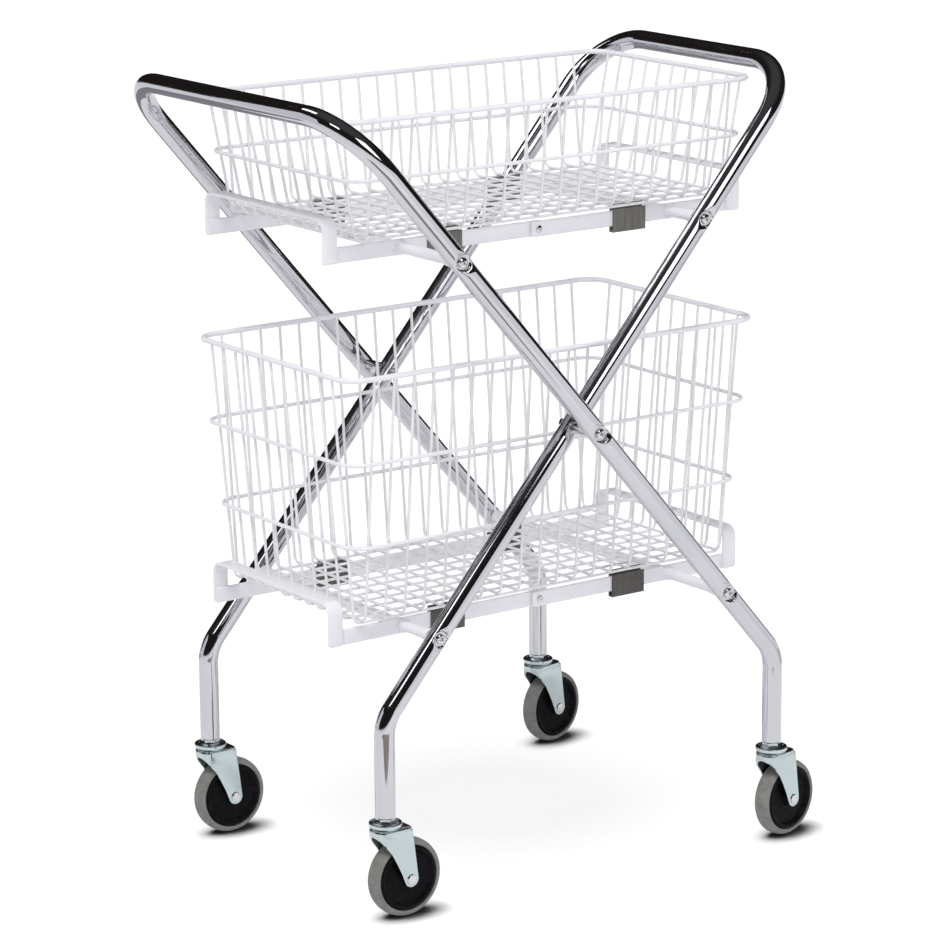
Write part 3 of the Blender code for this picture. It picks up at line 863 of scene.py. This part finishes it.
def bumped(tree, shader, layers):
    """Bump from several (height, distance, strength) layers, one after another."""
    normal = None
    for height, distance, strength in layers:
        made = add_node(tree, "ShaderNodeBump", Height=height, Distance=distance,
                        Strength=strength)
        if normal:
            tree.links.new(normal, made.inputs["Normal"])
        normal = made.outputs["Normal"]
    tree.links.new(normal, shader.inputs["Normal"])


def chrome_look():
    """Bright plating with faint polishing ripples and a little haze."""
    tree, shader = material("chrome", 0.04, 1.0)
    colour = ramp(tree, noise(tree, 9.0, 4.0),
                  [(0.35, (0.59, 0.59, 0.62)), (0.65, (0.64, 0.64, 0.67))])
    tree.links.new(colour, shader.inputs["Base Color"])
    haze = remapped(tree, noise(tree, 60.0, 5.0), 0.025, 0.085)
    tree.links.new(haze, shader.inputs["Roughness"])
    bumped(tree, shader, [(noise(tree, 35.0, 2.0), 0.0004, 0.10),
                          (noise(tree, 900.0, 2.0), 0.0001, 0.04)])


def bright_steel_look():
    tree, shader = material("bright_steel", 0.14, 1.0)
    colour = ramp(tree, noise(tree, 300.0, 3.0),
                  [(0.3, (0.62, 0.62, 0.61)), (0.7, (0.74, 0.74, 0.73))])
    tree.links.new(colour, shader.inputs["Base Color"])
    tree.links.new(remapped(tree, noise(tree, 500.0, 3.0), 0.08, 0.2), shader.inputs["Roughness"])
    bumped(tree, shader, [(noise(tree, 1500.0, 2.0), 0.0001, 0.08)])


def zinc_look():
    """Smooth bluish plate with a very faint mottle."""
    tree, shader = material("zinc", 0.3, 1.0)
    colour = ramp(tree, noise(tree, 120.0, 4.0),
                  [(0.2, (0.53, 0.60, 0.61)), (0.8, (0.58, 0.65, 0.66))])
    tree.links.new(colour, shader.inputs["Base Color"])
    tree.links.new(remapped(tree, noise(tree, 200.0, 4.0), 0.15, 0.22), shader.inputs["Roughness"])
    bumped(tree, shader, [(noise(tree, 700.0, 3.0), 0.0001, 0.06)])


def white_look(name, tint, roughness, ripple):
    """White coating with slight pooling, orange peel and a faint change of tone."""
    tree, shader = material(name, roughness)
    pale = tuple(min(c * 1.05, 1.0) for c in tint)
    colour = ramp(tree, noise(tree, 24.0, 5.0), [(0.3, tint), (0.7, pale)])
    tree.links.new(colour, shader.inputs["Base Color"])
    tree.links.new(remapped(tree, noise(tree, 90.0, 4.0), roughness - 0.06, roughness + 0.08),
                   shader.inputs["Roughness"])
    shader.inputs["IOR"].default_value = 1.5
    bumped(tree, shader, [(noise(tree, 70.0, 2.0), ripple, 0.25),
                          (noise(tree, 650.0, 2.0), 0.0002, 0.10)])


def clip_look():
    """Warm dark grey moulding with faint vertical draw lines; painted shade makes it darker lower
    down, so the lower shelf's clips come out darker than the upper ones.
    """
    tree, shader = material("clip_grey", 0.5)
    spot = tree.nodes.new("ShaderNodeTexCoord").outputs["Object"]
    height = add_node(tree, "ShaderNodeSeparateXYZ", Vector=spot).outputs["Z"]
    bands = noise(tree, 260.0, 3.0, (1.0, 0.15, 0.15))
    # Painted shade: the tone falls with height, darkening the clips that sit lower on the cart.
    tone = tree.nodes.new("ShaderNodeMath")
    tone.operation = "ADD"
    tree.links.new(remapped(tree, height, -0.3, 0.2, 0.3, 0.72), tone.inputs[0])
    tree.links.new(bands, tone.inputs[1])
    colour = ramp(tree, tone.outputs[0],
                  [(0.2, (0.072, 0.064, 0.060)), (0.8, (0.150, 0.144, 0.128))])
    tree.links.new(colour, shader.inputs["Base Color"])
    tree.links.new(remapped(tree, noise(tree, 400.0, 4.0), 0.42, 0.6), shader.inputs["Roughness"])
    bumped(tree, shader, [(bands, 0.0001, 0.10), (noise(tree, 1800.0, 3.0), 0.0001, 0.2)])


def hub_look():
    tree, shader = material("hub_black", 0.38)
    shader.inputs["Specular IOR Level"].default_value = 0.04
    colour = ramp(tree, noise(tree, 180.0, 4.0),
                  [(0.3, (0.004, 0.004, 0.005)), (0.7, (0.009, 0.009, 0.010))])
    tree.links.new(colour, shader.inputs["Base Color"])
    tree.links.new(remapped(tree, noise(tree, 300.0, 4.0), 0.16, 0.28), shader.inputs["Roughness"])
    bumped(tree, shader, [(noise(tree, 1600.0, 3.0), 0.0001, 0.10)])


def tread_look():
    """Grey rubber, dusty in places, with a fine moulded grain."""
    tree, shader = material("tread_grey", 0.6)
    colour = ramp(tree, noise(tree, 130.0, 6.0),
                  [(0.25, (0.145, 0.143, 0.134)), (0.75, (0.220, 0.217, 0.203))])
    tree.links.new(colour, shader.inputs["Base Color"])
    tree.links.new(remapped(tree, noise(tree, 240.0, 4.0), 0.5, 0.75), shader.inputs["Roughness"])
    bumped(tree, shader, [(noise(tree, 900.0, 4.0), 0.0002, 0.35)])


def build_looks():
    chrome_look()
    bright_steel_look()
    zinc_look()
    white_look("white_enamel", (0.76, 0.755, 0.79), 0.34, 0.0004)
    white_look("white_coating", (0.75, 0.75, 0.765), 0.30, 0.0003)
    clip_look()
    hub_look()
    tread_look()


# Stage, light and camera

def direction(azimuth, elevation):
    """Unit vector; azimuth in degrees from +X toward +Y."""
    a = math.radians(azimuth)
    e = math.radians(elevation)
    return Vector((math.cos(a) * math.cos(e), math.sin(a) * math.cos(e), math.sin(e)))


def painted_middle_shade(tree, seen):
    """The floor's glow as the camera sees it, with painted shade that makes it a touch weaker
    under the middle of the cart.
    """
    spot = tree.nodes.new("ShaderNodeTexCoord").outputs["Object"]
    away = tree.nodes.new("ShaderNodeVectorMath")
    away.operation = "DISTANCE"
    away.inputs[1].default_value = (0.08, 0.08, 0.0)
    tree.links.new(spot, away.inputs[0])
    # Painted shade: the glow weakens toward a spot under the middle of the cart.
    weaker = remapped(tree, away.outputs["Value"], 0.80, 1.0, 0.12, 0.42)
    both = tree.nodes.new("ShaderNodeMath")
    both.operation = "MULTIPLY"
    tree.links.new(weaker, both.inputs[0])
    tree.links.new(seen, both.inputs[1])
    return both.outputs[0]


def floor():
    """A white floor far larger than the view; to the camera it glows, with painted contact shadows
    where ambient occlusion dims the glow.
    """
    work = bmesh.new()
    bmesh.ops.create_grid(work, x_segments=24, y_segments=24, size=30.0)
    mesh = bpy.data.meshes.new("floor")
    work.to_mesh(mesh)
    work.free()
    made = bpy.data.objects.new("floor", mesh)
    tree, shader = material("floor", 0.9)
    shader.inputs["Specular IOR Level"].default_value = 0.0
    seen = tree.nodes.new("ShaderNodeLightPath").outputs["Is Camera Ray"]
    white = ramp(tree, noise(tree, 2.0, 3.0),
                 [(0.3, (0.90, 0.90, 0.91)), (0.7, (0.93, 0.93, 0.94))])
    # For camera rays the floor's own colour is near black, so the camera sees mostly the glow and
    # its painted shadows.
    tint = tree.nodes.new("ShaderNodeMix")
    tint.data_type = "RGBA"
    tree.links.new(seen, tint.inputs[0])
    tree.links.new(white, tint.inputs[6])
    tint.inputs[7].default_value = (0.05, 0.05, 0.05, 1.0)
    tree.links.new(tint.outputs[2], shader.inputs["Base Color"])
    shader.inputs["Emission Color"].default_value = (1.0, 1.0, 1.0, 1.0)
    # Painted contact shadows: ambient occlusion, leaning to -X, dims the glow beside things
    # standing on the floor.
    x, y, z = PAINTED_SHADOW_NORMAL
    normal = add_node(tree, "ShaderNodeCombineXYZ", X=x, Y=y, Z=z).outputs["Vector"]
    painted_shadow_gate = add_node(tree, "ShaderNodeAmbientOcclusion", Distance=PAINTED_SHADOW_REACH,
                          Normal=normal).outputs["AO"]
    lift = remapped(tree, painted_shadow_gate, 0.0, FLOOR_LIFT, 0.60, 0.92)
    glow = tree.nodes.new("ShaderNodeMath")
    glow.operation = "MULTIPLY"
    tree.links.new(lift, glow.inputs[0])
    tree.links.new(painted_middle_shade(tree, seen), glow.inputs[1])
    tree.links.new(glow.outputs[0], shader.inputs["Emission Strength"])
    mesh.materials.append(looks["floor"])
    bpy.context.scene.collection.objects.link(made)


def area_light(name, width, height, power, place, turn, kind):
    """A rectangular light that only one kind of ray finds: "diffuse" or "glossy"."""
    lamp = bpy.data.lights.new(name, "AREA")
    lamp.shape = "RECTANGLE"
    lamp.size = width
    lamp.size_y = height
    lamp.energy = power
    made = bpy.data.objects.new(name, lamp)
    made.location = place
    made.rotation_euler = turn
    made.visible_camera = False
    made.visible_diffuse = kind == "diffuse"
    made.visible_glossy = kind == "glossy"
    bpy.context.scene.collection.objects.link(made)


def softbox(name, azimuth, elevation, distance, width, height, power, kind):
    """A light panel aimed at the middle of the cart."""
    toward = direction(azimuth, elevation)
    place = Vector((0.0, 0.0, 0.50)) + toward * distance
    area_light(name, width, height, power, place, toward.to_track_quat("Z", "Y").to_euler(), kind)


def overhead_strip(name, start, end, width, power):
    """A narrow panel hung level between two points, shining down."""
    run = Vector(end) - Vector(start)
    place = (Vector(start) + Vector(end)) / 2
    turn = (0.0, 0.0, math.atan2(run.y, run.x) - math.pi / 2)
    area_light(name, width, run.length, power, place, turn, "glossy")


def card(name, corners, dark, light, lit):
    """A flat card that only shows as a reflection; a lit one glows with its own colour."""
    mesh = bpy.data.meshes.new(name)
    mesh.from_pydata(corners, [], [tuple(range(len(corners)))])
    made = bpy.data.objects.new(name, mesh)
    tree, shader = material(name, 0.8)
    colour = ramp(tree, noise(tree, 6.0, 3.0), [(0.3, dark), (0.7, light)])
    if lit:
        shader.inputs["Base Color"].default_value = (0.0, 0.0, 0.0, 1.0)
        shader.inputs["Specular IOR Level"].default_value = 0.0
        shader.inputs["Emission Strength"].default_value = 1.0
    tree.links.new(colour, shader.inputs["Emission Color" if lit else "Base Color"])
    mesh.materials.append(looks[name])
    for ray in ("camera", "diffuse", "shadow"):
        setattr(made, "visible_" + ray, False)
    bpy.context.scene.collection.objects.link(made)


def floor_card(name, outline, dark, light):
    card(name, [(x, y, 0.002) for x, y in outline], dark, light, False)


def wall_card(name, start, end, bottom, top, dark, light):
    """An upright lit card between two spots on the floor."""
    corners = [(*start, bottom), (*end, bottom), (*end, top), (*start, top)]
    card(name, corners, dark, light, True)


def studio_world():
    """White to the eye and to diffuse light, a dark ceiling in the gloss."""
    world = bpy.data.worlds.new("studio")
    bpy.context.scene.world = world
    world.use_nodes = True
    tree = world.node_tree
    sky = tree.nodes["Background"]
    sky.inputs["Color"].default_value = (0.97, 0.98, 1.0, 1.0)
    sky.inputs["Strength"].default_value = 0.55
    room = add_node(tree, "ShaderNodeBackground", Strength=1.0)
    spot = tree.nodes.new("ShaderNodeTexCoord").outputs["Generated"]
    height = add_node(tree, "ShaderNodeSeparateXYZ", Vector=spot).outputs["Z"]
    colour = ramp(tree, remapped(tree, height, 0.0, 1.0, -0.05, 0.9),
                  [(0.0, (0.38, 0.38, 0.43)), (0.06, (0.32, 0.32, 0.36)),
                   (0.105, (0.018, 0.013, 0.011)), (0.68, (0.015, 0.013, 0.013)),
                   (1.0, (0.058, 0.058, 0.061))])
    tree.links.new(colour, room.inputs["Color"])
    path = tree.nodes.new("ShaderNodeLightPath")
    mix = add_node(tree, "ShaderNodeMixShader", Fac=path.outputs["Is Glossy Ray"])
    tree.links.new(sky.outputs["Background"], mix.inputs[1])
    tree.links.new(room.outputs["Background"], mix.inputs[2])
    tree.links.new(mix.outputs["Shader"], tree.nodes["World Output"].inputs["Surface"])


def sun(azimuth, elevation, strength, angle):
    lamp = bpy.data.lights.new("sun", "SUN")
    lamp.energy = strength
    lamp.angle = math.radians(angle)
    made = bpy.data.objects.new("sun", lamp)
    made.rotation_euler = direction(azimuth, elevation).to_track_quat("Z", "Y").to_euler()
    made.visible_glossy = False
    bpy.context.scene.collection.objects.link(made)


def camera():
    """A long lens from the front left, a little above the handles."""
    target = Vector((0.0, 0.0, 0.42752))
    away = direction(-125.991, 13.777)
    data = bpy.data.cameras.new("camera")
    data.sensor_width = 36.0
    data.lens = 149.4
    data.shift_x = -0.00172
    data.shift_y = -0.00541
    data.clip_end = 100.0
    made = bpy.data.objects.new("camera", data)
    aim = away.to_track_quat("Z", "Y").to_matrix().to_4x4()
    roll = Matrix.Rotation(math.radians(-0.362), 4, "Z")
    made.matrix_world = Matrix.Translation(target + away * 4.44122) @ aim @ roll
    bpy.context.scene.collection.objects.link(made)
    bpy.context.scene.camera = made


def build_cart():
    frame_tube("outer_frame_tube", -1, OUTER_HALF, (-BOLT_REACH, 0.0, BOLT_REACH))
    frame_tube("inner_frame_tube", 1, INNER_HALF, (-BOLT_REACH, BOLT_REACH))
    for side, sign in SIDES.items():
        screw("pivot_bolt_" + side, sign)
        spacer("pivot_spacer_" + side)
        nut("pivot_nut_" + side)
    for shelf in SHELVES:
        for side, sign in SIDES.items():
            mid_rivet("mid_rivet_" + shelf + "_" + side, sign)
        for end, end_sign in ENDS.items():
            label = shelf + "_" + end
            face = RAIL_FACE if end_sign > 0 else RAIL_FACE - RAIL_STEP
            cross_tube("cross_tube_" + label, face)
            half_frame("half_frame_" + label, end_sign, face)
            for side, sign in SIDES.items():
                screw("cross_screw_" + label + "_" + side, sign)
                clip("clip_" + label + "_" + side, sign)
        basket(shelf)
    for end in ENDS:
        for side in SIDES:
            label = end + "_" + side
            caster_stem("caster_stem_" + label)
            caster_fork("caster_fork_" + label)
            caster_axle("caster_axle_" + label)
            wheel_hub("wheel_hub_" + label)
            wheel_tread("wheel_tread_" + label)


build_looks()
build_cart()
floor()
floor_card("brown_card", [(-0.02, -0.80), (-0.50, -0.60), (-1.30, -0.62), (-1.30, -1.25),
                          (-0.50, -1.12), (-0.02, -0.93)],
           (0.28, 0.235, 0.195), (0.36, 0.31, 0.27))
floor_card("grey_card", [(-1.4, 1.45), (-0.6, 1.35), (-0.3, 0.95), (0.9, 0.90),
                         (0.9, 2.2), (-1.4, 2.2)],
           (0.25, 0.25, 0.265), (0.31, 0.31, 0.325))
floor_card("pale_card", [(1.0, -1.2), (2.6, -1.2), (2.6, 0.1), (1.0, 0.1)],
           (0.58, 0.58, 0.60), (0.66, 0.66, 0.68))
studio_world()
softbox("key", -108.0, 36.0, 2.6, 1.6, 1.15, 13.0, "diffuse")
softbox("back_left", 118.0, 43.0, 2.6, 0.8, 0.5, 2.8, "diffuse")
softbox("right_fill", -52.0, 7.0, 3.0, 4.2, 0.95, 6.5, "diffuse")
softbox("side_shine", -163.4, 42.2, 2.62, 0.6, 0.4, 1.8, "glossy")
overhead_strip("back_strip", (-0.62, 1.90, 2.40), (-0.90, 0.63, 2.40), 0.42, 5.0)
card("key_panel", [(-1.05, -2.1, 2.0), (-0.35, -2.1, 1.4), (0.25, -2.1, 1.3), (0.25, -2.1, 3.0),
                   (-1.05, -2.1, 3.0)], (2.1, 2.1, 2.1), (2.4, 2.4, 2.4), True)
wall_card("right_panel", (2.94, 0.0), (-0.20, -2.93), 0.0, 0.85,
          (0.84, 0.84, 0.88), (1.0, 1.0, 1.04))
wall_card("left_panel", (-1.95, 2.51), (-3.06, 0.968), 0.0, 1.9,
          (0.72, 0.71, 0.78), (0.82, 0.81, 0.88))
sun(-150.0, 62.0, 1.5, 14.0)
camera()
bpy.context.scene.view_settings.view_transform = "Standard"
